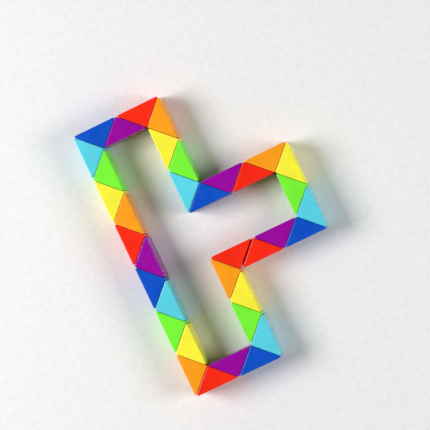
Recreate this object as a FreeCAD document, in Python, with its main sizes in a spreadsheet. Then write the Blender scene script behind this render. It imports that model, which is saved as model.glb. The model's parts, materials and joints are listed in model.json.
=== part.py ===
import FreeCAD, Part
import math
import os
import Sketcher

# Twisty snake puzzle: a chain of equal wedges, each a right-angled triangular prism, folded flat into a closed ring.
# A wedge's own frame: origin on the right-angled edge at mid depth, X and Y along the two legs, Z through the depth.
# The row frame: Z up through the depth, Y along the ring's longest side, origin under the middle of the ring's box.

SIZES = {
    "leg": (20.0, "side of a square joint face, and the pitch of the lattice that the wedges lie on"),
    "seam": (0.1, "how far each outer face stands back from the lattice"),
    "closure": (0.9, "gap between the two loose end faces of the chain, where the ring closes"),
    "wall": (1.4, "thickness of the shell's square and triangular walls"),
    "cover": (1.2, "thickness of the cover on the sloping face"),
    "play": (0.05, "gap around the cover in its opening"),
    "tip": (1.2, "length cut from each side of the sharp edges"),
    "corner": (0.6, "length cut from each side of the right-angled edge"),
    "round": (0.65, "radius of the shell's outer edges"),
    "bevel": (0.15, "bevel around the cover's outer face"),
    "hub": (4.0, "radius of the round hub that stands on a socket wedge's joint face"),
    "rise": (0.8, "height of that hub above its joint face"),
    "hubfit": (0.08, "radial running clearance of the hub in its recess"),
    "recess": (0.8, "depth of the recess in a boss wedge's joint face"),
    "bore": (1.22, "radius of the hole that the screw turns in"),
    "shank": (1.15, "radius of the screw's shank"),
    "pilot": (1.2, "radius of the hole in the boss that takes the screw"),
    "boss": (2.2, "radius of the screw boss"),
    "bosslength": (4.4, "length of the screw boss behind its wall"),
    "pad": (5.0, "radius of the thicker disc that backs the recess"),
    "padlength": (0.8, "thickness of that disc"),
    "pilotdepth": (5.3, "depth of the pilot hole from the joint face"),
    "screwdepth": (5.2, "how far the screw reaches past the shared plane into the boss wedge"),
    "head": (2.1, "radius of the screw head"),
    "headlength": (1.2, "height of the screw head"),
    "slot": (0.5, "width of the screw head's cross recess"),
    "slotdepth": (0.6, "depth of the screw head's cross recess"),
    "washer": (2.2, "radius of the washer under the screw head"),
    "washerlength": (0.3, "thickness of the washer"),
    "wire": (0.25, "radius of the spring's wire"),
    "coil": (1.75, "radius of the spring, to the middle of its wire"),
    "coilpitch": (0.6, "distance between neighbouring turns of the spring"),
    "springgap": (0.1, "gap at each end of the spring"),
    "notch": (0.8, "width of a detent notch, and of a detent rib"),
    "notchdepth": (0.3, "depth of a detent notch in the hub"),
    "ribheight": (0.12, "height of a detent rib on the floor of the recess"),
    "ribstart": (1.9, "distance of a notch or rib from the joint's axis"),
    "ribend": (3.7, "distance of the far end of a notch or rib from the joint's axis"),
}

COLOURS = ("red", "purple", "blue", "light_blue", "green", "yellow", "orange")
WEDGES = 36
# Joints at which the chain doubles back on itself, named by the wedge before them. At the others it runs on.
TURNS = (3, 6, 10, 14, 17, 28, 31, 35)
SPRING_TURNS = 3
# The wire is drawn with this many flat sides.
WIRE_SIDES = 8
DETENTS = 4
# A feature that changes its solid's volume by less than this many cubic millimetres has missed it.
LEAST_CHANGE = 0.01
# The middle of the ring's box, on the wedges' lattice, counted in legs from the first wedge's right-angled edge.
MIDDLE = (-1.0, 0.0)

doc = FreeCAD.newDocument("snake_puzzle")


def make_sheet():
    """The driving dimensions, in millimetres, one row each."""
    sheet = doc.addObject("Spreadsheet::Sheet", "Sizes")
    for row, (alias, (value, meaning)) in enumerate(SIZES.items(), start=1):
        sheet.set(f"A{row}", meaning)
        sheet.set(f"B{row}", str(value))
        sheet.setAlias(f"B{row}", alias)
    doc.recompute()
    return sheet


sheet = make_sheet()


def bind(obj, **expressions):
    """Bind an object's properties to expressions. A double underscore stands for the dot in a property's path."""
    for path, expression in expressions.items():
        obj.setExpression(path.replace("__", "."), expression)


# Sketches


def new_sketch(body, name, role, across="0", up="0", out="0"):
    """A sketch on one of the body's own planes, moved across, up and out of it by three expressions."""
    sketch = body.newObject("Sketcher::SketchObject", name)
    plane = next(feature for feature in body.Origin.OriginFeatures if feature.Role == role)
    sketch.AttachmentSupport = [(plane, "")]
    sketch.MapMode = "FlatFace"
    bind(
        sketch,
        AttachmentOffset__Base__x=across,
        AttachmentOffset__Base__y=up,
        AttachmentOffset__Base__z=out,
    )
    return sketch


def place_point(sketch, line, corner):
    """Hold the start of a line at a corner, given as a pair of expressions from the sketch's origin."""
    for kind, expression in zip(("DistanceX", "DistanceY"), corner):
        distance = sketch.evalExpression(expression)
        number = sketch.addConstraint(Sketcher.Constraint(kind, -1, 1, line, 1, float(distance)))
        sketch.setExpression(f"Constraints[{number}]", expression)


def draw_outline(sketch, corners):
    """A closed outline of straight lines through its corners."""
    places = [FreeCAD.Vector(*[float(sketch.evalExpression(e)) for e in corner], 0) for corner in corners]
    for start, end in zip(places, places[1:] + places[:1]):
        sketch.addGeometry(Part.LineSegment(start, end), False)
    for line, corner in enumerate(corners):
        before = (line - 1) % len(corners)
        sketch.addConstraint(Sketcher.Constraint("Coincident", before, 2, line, 1))
        place_point(sketch, line, corner)


def draw_circle(sketch, radius):
    """A circle about the sketch's origin."""
    start = float(sketch.evalExpression(radius))
    sketch.addGeometry(Part.Circle(FreeCAD.Vector(), FreeCAD.Vector(0, 0, 1), start), False)
    sketch.addConstraint(Sketcher.Constraint("Coincident", 0, 3, -1, 1))
    number = sketch.addConstraint(Sketcher.Constraint("Radius", 0, start))
    sketch.setExpression(f"Constraints[{number}]", radius)


# Features. Each is made, then the solid's volume is compared, so that none can miss the solid unseen.


def volume(body):
    """The body's volume, which is zero before its first feature."""
    return 0.0 if body.Shape.isNull() else body.Shape.Volume


def finish_feature(feature, body, before, adds):
    """Recompute, and stop unless the feature has added to the solid, or has taken from it if adds is False."""
    body.Tip = feature
    doc.recompute()
    gained = volume(body) - before
    if (gained if adds else -gained) < LEAST_CHANGE:
        raise RuntimeError(f"{body.Label}: {feature.Label} changes the volume by {gained}")


def add_feature(body, kind, name, sketch, length, reverse=False, both_ways=False):
    """A pad or a pocket of a sketch, to a length given as an expression."""
    before = volume(body)
    feature = body.newObject(f"PartDesign::{kind}", name)
    feature.Profile = sketch
    bind(feature, Length=length)
    feature.Reversed = reverse
    if both_ways:
        feature.SideType = "Symmetric"
    sketch.Visibility = False
    finish_feature(feature, body, before, adds=kind == "Pad")
    return feature


def repeat_about_axis(body, name, feature, sketch, adds):
    """Copies of a feature about the line through its sketch's origin, one for each detent."""
    before = volume(body)
    pattern = body.newObject("PartDesign::PolarPattern", name)
    pattern.Originals = [feature]
    pattern.Axis = (sketch, ["N_Axis"])
    pattern.Angle = 360
    pattern.Occurrences = DETENTS
    finish_feature(pattern, body, before, adds)


def round_all_edges(body, block):
    """Round every edge of the block."""
    before = volume(body)
    rounding = body.newObject("PartDesign::Fillet", "rounded_edges")
    rounding.Base = (block, ["Face1"])
    rounding.UseAllEdges = True
    bind(rounding, Radius="Sizes.round")
    finish_feature(rounding, body, before, adds=False)


def bevel_sloping_face(body, plate):
    """Bevel the edges around the plate's face that looks out along both legs."""
    before = volume(body)
    slope = FreeCAD.Vector(1, 1, 0).normalize()
    outside = next(
        f"Face{number}"
        for number, face in enumerate(plate.Shape.Faces, start=1)
        if face.normalAt(0, 0).isEqual(slope, 1e-6)
    )
    bevel = body.newObject("PartDesign::Chamfer", "bevelled_edges")
    bevel.Base = (plate, [outside])
    bind(bevel, Size="Sizes.bevel")
    finish_feature(bevel, body, before, adds=False)


# The wedge's shell and cover


def face_inset(at_chain_end):
    """How far the face on the X leg stands back, which is further at an end of the chain."""
    return "(Sizes.closure / 2)" if at_chain_end else "Sizes.seam"


def shell_outline(inset_y):
    """The outer outline, with its sharp edges blunted."""
    far_x = f"(Sizes.leg - sqrt(2) * Sizes.seam - {inset_y})"
    far_y = "(Sizes.leg - (sqrt(2) + 1) * Sizes.seam)"
    return [
        ("Sizes.seam + Sizes.corner", inset_y),
        (f"{far_x} - Sizes.tip", inset_y),
        (f"{far_x} - Sizes.tip / sqrt(2)", f"{inset_y} + Sizes.tip / sqrt(2)"),
        ("Sizes.seam + Sizes.tip / sqrt(2)", f"{far_y} - Sizes.tip / sqrt(2)"),
        ("Sizes.seam", f"{far_y} - Sizes.tip"),
        ("Sizes.seam", f"{inset_y} + Sizes.corner"),
    ]


def cavity_outline(inset_y):
    """The hollow inside the walls, open through the sloping face."""
    inner_x = "Sizes.seam + Sizes.wall"
    inner_y = f"{inset_y} + Sizes.wall"
    return [(inner_x, inner_y), ("Sizes.leg", inner_y), (inner_x, "Sizes.leg")]


def cover_outline(inset_y):
    """The cover's section: a strip under the sloping face, its ends parallel to the square walls."""
    inner_x = "(Sizes.seam + Sizes.wall + Sizes.play)"
    inner_y = f"({inset_y} + Sizes.wall + Sizes.play)"
    outside = "(Sizes.leg - sqrt(2) * Sizes.seam)"
    inside = "(Sizes.leg - sqrt(2) * (Sizes.seam + Sizes.cover))"
    return [
        (f"{inside} - {inner_y}", inner_y),
        (f"{outside} - {inner_y}", inner_y),
        (inner_x, f"{outside} - {inner_x}"),
        (inner_x, f"{inside} - {inner_x}"),
    ]


class JointFace:
    """One of a shell's two square faces, with its plane, and which way the plane's normal points."""

    def __init__(self, body, tag, role, normal_out):
        self.body = body
        self.tag = tag
        self.role = role
        self.normal_out = normal_out

    def sketch(self, name, depth):
        """A sketch about the joint's axis, at a depth behind the lattice plane given as an expression."""
        sign = "-1" if self.normal_out else "1"
        return new_sketch(
            self.body, f"{name}_{self.tag}", self.role, across="Sizes.leg / 2", out=f"{sign} * ({depth})"
        )

    def pad(self, name, sketch, length, outwards):
        reverse = outwards != self.normal_out
        return add_feature(self.body, "Pad", f"{name}_{self.tag}_pad", sketch, length, reverse=reverse)

    def pocket(self, name, sketch, length, outwards):
        reverse = outwards == self.normal_out
        return add_feature(self.body, "Pocket", f"{name}_{self.tag}_cut", sketch, length, reverse=reverse)

    def round_pad(self, name, radius, depth, length, outwards):
        sketch = self.sketch(name, depth)
        draw_circle(sketch, radius)
        self.pad(name, sketch, length, outwards)

    def round_pocket(self, name, radius, depth, length, outwards):
        sketch = self.sketch(name, depth)
        draw_circle(sketch, radius)
        self.pocket(name, sketch, length, outwards)

    def detent_sketch(self, name, depth):
        """The outline of one detent notch or rib, to one side of the joint's axis."""
        sketch = self.sketch(name, depth)
        draw_outline(
            sketch,
            [
                ("Sizes.ribstart", "-Sizes.notch / 2"),
                ("Sizes.ribend", "-Sizes.notch / 2"),
                ("Sizes.ribend", "Sizes.notch / 2"),
                ("Sizes.ribstart", "Sizes.notch / 2"),
            ],
        )
        return sketch


def add_socket(face):
    """A hub with a bore for the screw and detent notches in its top."""
    inner = "Sizes.seam + Sizes.wall"
    through = "Sizes.wall + Sizes.rise"
    face.round_pad("hub", "Sizes.hub", inner, through, outwards=True)
    face.round_pocket("bore", "Sizes.bore", inner, through, outwards=True)
    sketch = face.detent_sketch("notch", "Sizes.seam - Sizes.rise")
    notch = face.pocket("notch", sketch, "Sizes.notchdepth", outwards=False)
    repeat_about_axis(face.body, f"notches_{face.tag}", notch, sketch, adds=False)


def add_boss(face):
    """A recess for the neighbour's hub, backed by a disc and a boss that takes the screw, with detent ribs."""
    inner = "Sizes.seam + Sizes.wall"
    floor = "Sizes.seam + Sizes.recess"
    face.round_pad("disc", "Sizes.pad", inner, "Sizes.padlength", outwards=False)
    face.round_pad("boss", "Sizes.boss", inner, "Sizes.bosslength", outwards=False)
    face.round_pocket("recess", "Sizes.hub + Sizes.hubfit", "Sizes.seam", "Sizes.recess", outwards=False)
    face.round_pocket("pilot", "Sizes.pilot", "Sizes.seam", "Sizes.pilotdepth", outwards=False)
    sketch = face.detent_sketch("rib", floor)
    rib = face.pad("rib", sketch, "Sizes.ribheight", outwards=True)
    repeat_about_axis(face.body, f"ribs_{face.tag}", rib, sketch, adds=True)


def make_shell(label, add_joint, at_chain_end):
    """A wedge's moulded shell. At an end of the chain the face on the X leg is plain."""
    body = doc.addObject("PartDesign::Body", label)
    inset_y = face_inset(at_chain_end)
    sketch = new_sketch(body, "outline", "XY_Plane")
    draw_outline(sketch, shell_outline(inset_y))
    block = add_feature(body, "Pad", "block", sketch, "Sizes.leg - 2 * Sizes.seam", both_ways=True)
    round_all_edges(body, block)
    sketch = new_sketch(body, "hollow", "XY_Plane")
    draw_outline(sketch, cavity_outline(inset_y))
    add_feature(body, "Pocket", "cavity", sketch, "Sizes.leg - 2 * (Sizes.seam + Sizes.wall)", both_ways=True)
    add_joint(JointFace(body, "on_y_leg", "YZ_Plane", normal_out=False))
    if not at_chain_end:
        add_joint(JointFace(body, "on_x_leg", "XZ_Plane", normal_out=True))
    return body


def make_cover(label, at_chain_end):
    """The snap-in plate that closes a shell's sloping face."""
    body = doc.addObject("PartDesign::Body", label)
    sketch = new_sketch(body, "section", "XY_Plane")
    draw_outline(sketch, cover_outline(face_inset(at_chain_end)))
    depth = "Sizes.leg - 2 * (Sizes.seam + Sizes.wall + Sizes.play)"
    plate = add_feature(body, "Pad", "plate", sketch, depth, both_ways=True)
    bevel_sloping_face(body, plate)
    return body


# The pieces on a joint's axis. They are drawn along Z with the shared plane at 0 and the boss wedge above it.


def make_rod(name, radius, low, length):
    """A round bar along Z, from a low end to a length, all given as expressions."""
    rod = doc.addObject("Part::Cylinder", name)
    bind(rod, Radius=radius, Height=length, Placement__Base__z=low)
    return rod


def make_bar(name, width, reach, low, height):
    """A square-ended bar across the axis, centred on it."""
    bar = doc.addObject("Part::Box", name)
    bind(
        bar,
        Length=reach,
        Width=width,
        Height=height,
        Placement__Base__x=f"-({reach}) / 2",
        Placement__Base__y=f"-({width}) / 2",
        Placement__Base__z=low,
    )
    return bar


def cut(name, base, tool):
    result = doc.addObject("Part::Cut", name)
    result.Base = base
    result.Tool = tool
    return result


def fuse(name, pieces):
    result = doc.addObject("Part::MultiFuse", name)
    result.Shapes = pieces
    return result


SPRING_FOOT = "-(Sizes.seam + Sizes.wall + Sizes.springgap)"
SPRING_LENGTH = f"(2 * Sizes.wire + {SPRING_TURNS} * Sizes.coilpitch)"
WASHER_LOW = f"({SPRING_FOOT} - {SPRING_LENGTH} - Sizes.springgap - Sizes.washerlength)"
HEAD_LOW = f"({WASHER_LOW} - Sizes.headlength)"


def make_screw():
    """A pan-headed self-tapping screw with a cross recess."""
    shank = make_rod("shank", "Sizes.shank", WASHER_LOW, f"Sizes.screwdepth - {WASHER_LOW}")
    head = make_rod("head", "Sizes.head", HEAD_LOW, "Sizes.headlength")
    blank = fuse("screw_blank", [shank, head])
    across = make_bar("slot_one", "Sizes.slot", "Sizes.head * 1.3", HEAD_LOW, "Sizes.slotdepth")
    along = make_bar("slot_two", "Sizes.head * 1.3", "Sizes.slot", HEAD_LOW, "Sizes.slotdepth")
    return cut("screw", blank, fuse("cross_recess", [across, along]))


def make_washer():
    disc = make_rod("washer_disc", "Sizes.washer", WASHER_LOW, "Sizes.washerlength")
    hole = make_rod("washer_hole", "Sizes.bore", WASHER_LOW, "Sizes.washerlength")
    return cut("washer", disc, hole)


def make_spring():
    """A compression spring, its wire wound about the screw."""
    low = f"{SPRING_FOOT} - {SPRING_LENGTH} + Sizes.wire"
    coil = doc.addObject("Part::Helix", "coil")
    bind(
        coil,
        Radius="Sizes.coil",
        Pitch="Sizes.coilpitch",
        Height=f"{SPRING_TURNS} * Sizes.coilpitch",
        Placement__Base__z=low,
    )
    section = doc.addObject("Part::RegularPolygon", "wire_section")
    section.Polygon = WIRE_SIDES
    section.Placement.Rotation = FreeCAD.Rotation(FreeCAD.Vector(1, 0, 0), 90)
    bind(section, Circumradius="Sizes.wire", Placement__Base__x="Sizes.coil", Placement__Base__z=low)
    spring = doc.addObject("Part::Sweep", "spring")
    spring.Sections = [section]
    spring.Spine = (coil, [])
    spring.Solid = True
    spring.Frenet = True
    return spring


def make_set(label, pieces, axis, x="0", y="0"):
    """The screw, washer and spring of one joint, standing on a leg of the boss wedge's own frame."""
    group = doc.addObject("Part::Compound", label)
    group.Links = pieces
    group.Placement = FreeCAD.Placement(FreeCAD.Vector(), FreeCAD.Rotation(FreeCAD.Vector(0, 0, 1), axis))
    bind(group, Placement__Base__x=x, Placement__Base__y=y)
    return group


# The chain


def quarter_turn(direction):
    """A direction on the lattice, turned 90 degrees anticlockwise."""
    return (-direction[1], direction[0])


def walk_chain():
    """Each wedge's right-angled edge on the lattice, and the direction of its X leg, from the first wedge on.

    The entry and exit legs both start at the right-angled edge. Where the chain runs on, the next wedge's
    right-angled edge is at the far end of the exit leg. Where it doubles back, the two share theirs.
    """
    corner, entry, leave = (0, 0), (0, -1), (1, 0)
    for number in range(1, WEDGES + 1):
        yield number, corner, entry if quarter_turn(entry) == leave else leave
        onward = (-entry[0], -entry[1])
        if number in TURNS:
            entry = leave
        else:
            corner = (corner[0] + leave[0], corner[1] + leave[1])
            entry = (-leave[0], -leave[1])
        leave = onward


# The lattice lies at 45 degrees in the row frame, so that the ring's long sides lie along Y.
LATTICE_ANGLE = -45.0


def wedge_placement(corner, leg_direction):
    """Where a wedge's own frame stands in the row frame."""
    leg = sheet.leg
    turn = FreeCAD.Rotation(FreeCAD.Vector(0, 0, 1), LATTICE_ANGLE)
    offset = FreeCAD.Vector((corner[0] - MIDDLE[0]) * leg, (corner[1] - MIDDLE[1]) * leg, 0)
    place = turn.multVec(offset) + FreeCAD.Vector(0, 0, leg / 2 - sheet.seam)
    heading = LATTICE_ANGLE + math.degrees(math.atan2(leg_direction[1], leg_direction[0]))
    return FreeCAD.Placement(place, FreeCAD.Rotation(FreeCAD.Vector(0, 0, 1), heading))


def add_node(name, pieces, placement):
    """One node of the model: copies of the given pieces, placed together."""
    node = doc.addObject("Part::Compound", name)
    node.Label = name
    node.Links = pieces
    node.Placement = placement
    return node


def check_objects():
    """Stop if any object failed to build."""
    for obj in doc.Objects:
        if {"Invalid", "Error"} & set(obj.State):
            raise RuntimeError(f"{obj.Label} failed: {obj.State}")


def write_node(node, solids):
    """Write one node's solids, once their shapes are known to be sound."""
    shape = node.Shape
    if shape.isNull() or not shape.isValid() or len(shape.Solids) != solids:
        raise RuntimeError(f"{node.Label}: unsound, or not {solids} solids")
    shape.exportStep(os.path.join("parts", f"{node.Label}.step"))


def main():
    shells = {
        (joint, at_end): make_shell(f"{joint}_shell{'_at_end' * at_end}", add_joint, at_end)
        for joint, add_joint in (("socket", add_socket), ("boss", add_boss))
        for at_end in (False, True)
    }
    covers = {at_end: make_cover(f"cover{'_at_end' * at_end}", at_end) for at_end in (False, True)}
    pieces = [make_screw(), make_washer(), make_spring()]
    on_y_leg = make_set("set_on_y_leg", pieces, FreeCAD.Vector(1, 0, 0), y="Sizes.leg / 2")
    on_x_leg = make_set("set_on_x_leg", pieces, FreeCAD.Vector(0, 1, 0), x="Sizes.leg / 2")

    nodes = []
    for number, corner, leg_direction in walk_chain():
        at_end = number in (1, WEDGES)
        joint = "boss" if number % 2 == 0 else "socket"
        placement = wedge_placement(corner, leg_direction)
        colour = COLOURS[(number - 1) % len(COLOURS)]
        wedge = add_node(f"wedge_{number:02d}_{colour}", [shells[joint, at_end], covers[at_end]], placement)
        nodes.append((wedge, 2))
        if joint == "boss":
            sets = [on_y_leg] if at_end else [on_y_leg, on_x_leg]
            hardware = add_node(f"screws_and_springs_{number:02d}", sets, placement)
            nodes.append((hardware, len(pieces) * len(sets)))

    doc.recompute()
    check_objects()
    os.makedirs("parts", exist_ok=True)
    for node, solids in nodes:
        write_node(node, solids)


main()
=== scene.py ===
import json
import math
import bpy
from mathutils import Matrix, Vector


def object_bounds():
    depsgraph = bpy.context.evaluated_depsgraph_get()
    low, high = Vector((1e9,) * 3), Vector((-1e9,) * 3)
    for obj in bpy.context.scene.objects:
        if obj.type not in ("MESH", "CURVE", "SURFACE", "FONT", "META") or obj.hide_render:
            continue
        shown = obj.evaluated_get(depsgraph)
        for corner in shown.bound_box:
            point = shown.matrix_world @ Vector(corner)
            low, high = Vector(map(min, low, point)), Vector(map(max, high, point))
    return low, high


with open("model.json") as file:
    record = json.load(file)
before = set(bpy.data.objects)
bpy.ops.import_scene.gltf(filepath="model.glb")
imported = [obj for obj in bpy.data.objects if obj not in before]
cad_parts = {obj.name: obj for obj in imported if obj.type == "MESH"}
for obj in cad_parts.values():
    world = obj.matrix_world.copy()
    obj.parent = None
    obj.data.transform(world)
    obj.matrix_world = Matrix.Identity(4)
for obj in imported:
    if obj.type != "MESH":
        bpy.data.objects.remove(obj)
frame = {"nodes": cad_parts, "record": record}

# Twisty snake puzzle, folded flat into a closed ring. Its wedges and their screws are the CAD nodes themselves.
# All lengths are in metres, in the row frame.

MM = 0.001
CAD_BOX = [list(corner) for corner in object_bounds()]
TOP = CAD_BOX[1][2]

# Camera: almost overhead, a little towards the short arm, and turned so that the long side leans to the left.
CAMERA_AT = Vector((0.134, -0.028, 1.257))
AIMED_AT = Vector((0.0, 0.007, TOP))
CAMERA_TURN = math.radians(-25.6)
FOCAL_LENGTHS_PER_FRAME = 4.945
SENSOR_MM = 36.0

# Soft lights: where each one is, the side of its square, and its power in watts
KEY = ((-0.77, 0.36, 0.84), 0.60, 13.3)
FILL = ((0.86, -0.37, 0.75), 0.50, 6.8)

# Surroundings: their strength at the horizon and overhead, and the heights between which they change
HORIZON = 0.85
OVERHEAD = 0.03
HORIZON_TO_OVERHEAD = (0.10, 0.65)

# Floor: half its side, how far below the object it lies, and its two greys
FLOOR_REACH = 6.0
FLOOR_DROP = 0.1 * MM
FLOOR_GREYS = (0.80, 0.84)
# Far off it glows up to this strength, between these distances, so that it is as pale as the horizon.
FLOOR_GLOW = 0.66
FLOOR_GLOW_FROM_TO = (0.5, 2.5)

# Moulded plastics, as scene-linear colour
PLASTICS = {
    "red_plastic": (0.93, 0.022, 0.006),
    "purple_plastic": (0.31, 0.0005, 0.33),
    "blue_plastic": (0.003, 0.080, 0.55),
    "light_blue_plastic": (0.10, 0.64, 0.77),
    "green_plastic": (0.19, 0.90, 0.038),
    "yellow_plastic": (0.94, 0.86, 0.045),
    "orange_plastic": (0.95, 0.34, 0.010),
}


def new_material(name):
    """A material with a Principled shader: (material, its node tree, the shader)."""
    material = bpy.data.materials.new(name)
    material.use_nodes = True
    tree = material.node_tree
    shader = next(n for n in tree.nodes if n.type == "BSDF_PRINCIPLED")
    return material, tree, shader


def noise(tree, scale, detail, place):
    """Noise over the object's own coordinates, in features per metre."""
    node = tree.nodes.new("ShaderNodeTexNoise")
    node.inputs["Scale"].default_value = scale
    node.inputs["Detail"].default_value = detail
    tree.links.new(place, node.inputs["Vector"])
    return node.outputs["Fac"]


def map_range(tree, value, low, high, source=(0.35, 0.65)):
    """value, taken from its source range to low and high."""
    node = tree.nodes.new("ShaderNodeMapRange")
    node.inputs["From Min"].default_value = source[0]
    node.inputs["From Max"].default_value = source[1]
    node.inputs["To Min"].default_value = low
    node.inputs["To Max"].default_value = high
    tree.links.new(value, node.inputs["Value"])
    return node.outputs["Result"]


def tint(tree, fac, dark, light):
    """A colour between dark and light."""
    node = tree.nodes.new("ShaderNodeMix")
    node.data_type = "RGBA"
    tree.links.new(fac, node.inputs["Factor"])
    node.inputs["A"].default_value = (*dark, 1)
    node.inputs["B"].default_value = (*light, 1)
    return node.outputs["Result"]


def bump(tree, height, distance, strength, under=None):
    """A normal for bumps of a height, laid over the normal under it if there is one."""
    node = tree.nodes.new("ShaderNodeBump")
    node.inputs["Distance"].default_value = distance
    node.inputs["Strength"].default_value = strength
    tree.links.new(height, node.inputs["Height"])
    if under is not None:
        tree.links.new(under, node.inputs["Normal"])
    return node.outputs["Normal"]


def plastic(name, colour):
    """Glossy moulded plastic: faint flow marks, uneven gloss from handling, slight sink."""
    material, tree, shader = new_material(name)
    place = tree.nodes.new("ShaderNodeTexCoord").outputs["Object"]
    flow = map_range(tree, noise(tree, 55, 3, place), 0, 1)
    darker = tuple(c * 0.93 for c in colour)
    lighter = tuple(min(1.0, c * 1.03 + 0.002) for c in colour)
    body_colour = tint(tree, flow, darker, lighter)
    handled = map_range(tree, noise(tree, 140, 5, place), 0.17, 0.27)
    sink = bump(tree, noise(tree, 70, 1, place), 0.20 * MM, 0.5)
    peel = bump(tree, noise(tree, 1900, 2, place), 0.02 * MM, 0.25, under=sink)
    tree.links.new(body_colour, shader.inputs["Base Color"])
    tree.links.new(handled, shader.inputs["Roughness"])
    tree.links.new(peel, shader.inputs["Normal"])
    shader.inputs["IOR"].default_value = 1.53
    shader.inputs["Specular IOR Level"].default_value = 0.32
    shader.inputs["Coat Weight"].default_value = 0.06
    shader.inputs["Coat Roughness"].default_value = 0.10
    return material


def steel():
    """Zinc-plated steel with fine scratches."""
    material, tree, shader = new_material("steel")
    place = tree.nodes.new("ShaderNodeTexCoord").outputs["Object"]
    mottle = map_range(tree, noise(tree, 900, 4, place), 0, 1)
    tree.links.new(tint(tree, mottle, (0.42, 0.43, 0.45), (0.62, 0.63, 0.64)), shader.inputs["Base Color"])
    tree.links.new(map_range(tree, noise(tree, 2500, 3, place), 0.22, 0.45), shader.inputs["Roughness"])
    tree.links.new(bump(tree, noise(tree, 6000, 2, place), 0.01 * MM, 0.3), shader.inputs["Normal"])
    shader.inputs["Metallic"].default_value = 1.0
    return material


def paint_nodes():
    """Give each CAD node the material of the slot that the record names for it."""
    materials = {name: plastic(name, colour) for name, colour in PLASTICS.items()}
    materials["steel"] = steel()
    for row in frame["record"]["subparts"]:
        node = frame["nodes"][row["node"]]
        node.data.materials.clear()
        node.data.materials.append(materials[row["material_slot"]])


def add_floor():
    """A pale, plain floor, which fades far off into surroundings as pale as itself."""
    mesh = bpy.data.meshes.new("floor")
    corners = [(FLOOR_REACH * x, FLOOR_REACH * y, 0) for x, y in ((-1, -1), (1, -1), (1, 1), (-1, 1))]
    mesh.from_pydata(corners, [], [(0, 1, 2, 3)])
    floor = bpy.data.objects.new("floor", mesh)
    bpy.context.scene.collection.objects.link(floor)
    floor.location.z = -FLOOR_DROP
    material, tree, shader = new_material("floor_paper")
    place = tree.nodes.new("ShaderNodeTexCoord").outputs["Object"]
    speck = map_range(tree, noise(tree, 300, 3, place), 0, 1)
    darker, lighter = ((grey, grey, grey) for grey in FLOOR_GREYS)
    tree.links.new(tint(tree, speck, darker, lighter), shader.inputs["Base Color"])
    shader.inputs["Roughness"].default_value = 0.8
    distance = tree.nodes.new("ShaderNodeVectorMath")
    distance.operation = "LENGTH"
    tree.links.new(place, distance.inputs[0])
    fade = map_range(tree, distance.outputs["Value"], 0, FLOOR_GLOW, source=FLOOR_GLOW_FROM_TO)
    tree.links.new(fade, shader.inputs["Emission Strength"])
    shader.inputs["Emission Color"].default_value = (1.0, 1.0, 1.0, 1.0)
    mesh.materials.append(material)


def aim(obj, at, target, turn=0.0):
    """Put obj at a place, looking at a target, turned about its own line of sight."""
    towards = (target - at).normalized()
    up = Vector((-math.sin(turn), math.cos(turn), 0))
    right = towards.cross(up).normalized()
    axes = Matrix((right, right.cross(towards), -towards)).transposed()
    obj.matrix_world = Matrix.Translation(at) @ axes.to_4x4()


def add_camera():
    """The camera of the main view."""
    data = bpy.data.cameras.new("camera")
    data.sensor_width = SENSOR_MM
    data.lens = SENSOR_MM * FOCAL_LENGTHS_PER_FRAME
    camera = bpy.data.objects.new("camera", data)
    bpy.context.scene.collection.objects.link(camera)
    aim(camera, CAMERA_AT, AIMED_AT, CAMERA_TURN)
    bpy.context.scene.camera = camera


def add_light(name, at, size, power):
    """A soft square light that looks at the middle of the object."""
    data = bpy.data.lights.new(name, "AREA")
    data.size = size
    data.energy = power
    light = bpy.data.objects.new(name, data)
    bpy.context.scene.collection.objects.link(light)
    aim(light, Vector(at), Vector((0, 0, TOP)))


def add_surroundings():
    """Pale surroundings, darker overhead, so that the flat tops keep their colour and only the edges shine."""
    world = bpy.data.worlds.new("studio")
    world.use_nodes = True
    tree = world.node_tree
    axes = tree.nodes.new("ShaderNodeSeparateXYZ")
    tree.links.new(tree.nodes.new("ShaderNodeTexCoord").outputs["Generated"], axes.inputs["Vector"])
    strength = map_range(tree, axes.outputs["Z"], HORIZON, OVERHEAD, source=HORIZON_TO_OVERHEAD)
    background = tree.nodes["Background"]
    background.inputs["Color"].default_value = (1.0, 1.0, 1.0, 1.0)
    tree.links.new(strength, background.inputs["Strength"])
    bpy.context.scene.world = world
    bpy.context.scene.view_settings.view_transform = "Standard"


def add_lights():
    """A strong soft light from the long side's left, and a weaker one across from it."""
    add_light("key", *KEY)
    add_light("fill", *FILL)


add_camera()
add_surroundings()
add_lights()
add_floor()
paint_nodes()
